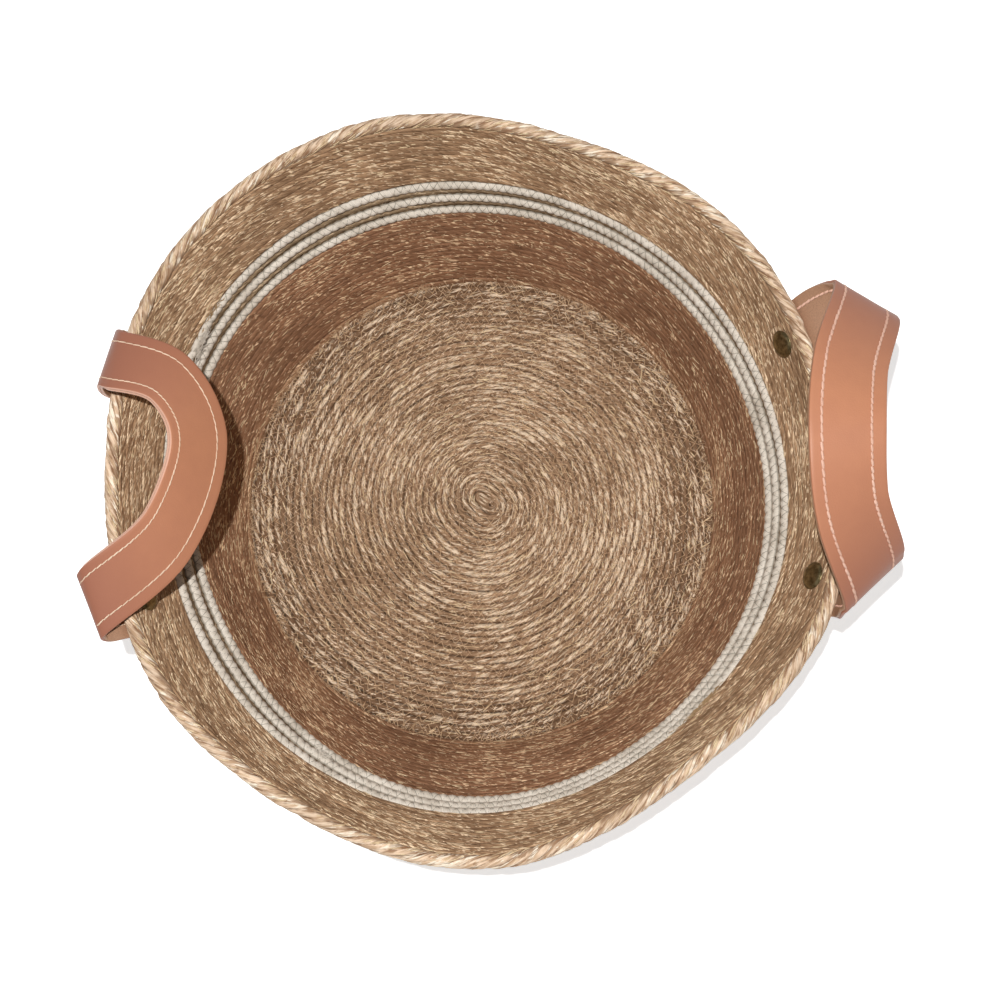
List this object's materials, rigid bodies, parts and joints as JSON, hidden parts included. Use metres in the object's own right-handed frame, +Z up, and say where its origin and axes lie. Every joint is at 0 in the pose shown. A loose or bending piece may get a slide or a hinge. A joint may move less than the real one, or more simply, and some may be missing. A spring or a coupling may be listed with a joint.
{
  "type": "jute storage basket",
  "caption": "Low round coiled jute storage basket with a flared wall, a band of white cord rows, a twisted rim and riveted leather strap handles that swing",
  "frame": {"origin": "centre of the floor's underside, on the surface that the basket stands on", "axes": "+Z up; +X through the handle that stands upright, -X through the handle that lies over the opening; +Y along the rim between them"},
  "size_m": [0.4086, 0.3905, 0.2005],
  "materials": {
    "floor_jute": "pale beige coiled jute cord, rough",
    "wall_jute_dark": "reddish brown coiled jute cord, rough",
    "wall_jute": "brown coiled jute cord with pale fibres, rough",
    "white_cord": "off-white cord with grey-green zigzag thread",
    "rim_straw": "straw-coloured twisted rope",
    "strap_leather": "smooth tan leather, satin, pale cut edges",
    "strap_suede": "greyish brown flesh side of the leather, matt",
    "rivet_bronze": "dark antique bronze, satin"
  },
  "bodies": {
    "basket": {"floor_coil": "floor_jute", "lower_wall": "wall_jute_dark", "white_cord_lower": "white_cord", "natural_cord_lower": "wall_jute", "white_cord_middle": "white_cord", "natural_cord_upper": "wall_jute", "white_cord_upper": "white_cord", "upper_wall": "wall_jute", "rim_rope": "rim_straw", "right_first_rivet": "rivet_bronze", "right_first_rivet_cap": "rivet_bronze", "right_last_rivet": "rivet_bronze", "right_last_rivet_cap": "rivet_bronze", "right_first_tab_face": "strap_leather", "right_last_tab_face": "strap_leather", "right_first_tab_lining": "strap_suede", "right_last_tab_lining": "strap_suede", "left_first_rivet": "rivet_bronze", "left_first_rivet_cap": "rivet_bronze", "left_last_rivet": "rivet_bronze", "left_last_rivet_cap": "rivet_bronze", "left_first_tab_face": "strap_leather", "left_last_tab_face": "strap_leather", "left_first_tab_lining": "strap_suede", "left_last_tab_lining": "strap_suede"},
    "right_handle": {"right_arch_face": "strap_leather", "right_arch_lining": "strap_suede"},
    "left_handle": {"left_arch_face": "strap_leather", "left_arch_lining": "strap_suede"}
  },
  "joints": [
    {"name": "right_handle_hinge", "type": "hinge", "parent": "basket", "child": "right_handle", "pos_m": [0.20169, 0.01211, 0.158], "axis": [0.011, 0.9999, 0], "range_deg": [-35, 70]},
    {"name": "left_handle_hinge", "type": "hinge", "parent": "basket", "child": "left_handle", "pos_m": [-0.18512, -0.00604, 0.155], "axis": [-0.0441, -0.999, 0], "range_deg": [-10, 120]}
  ]
}
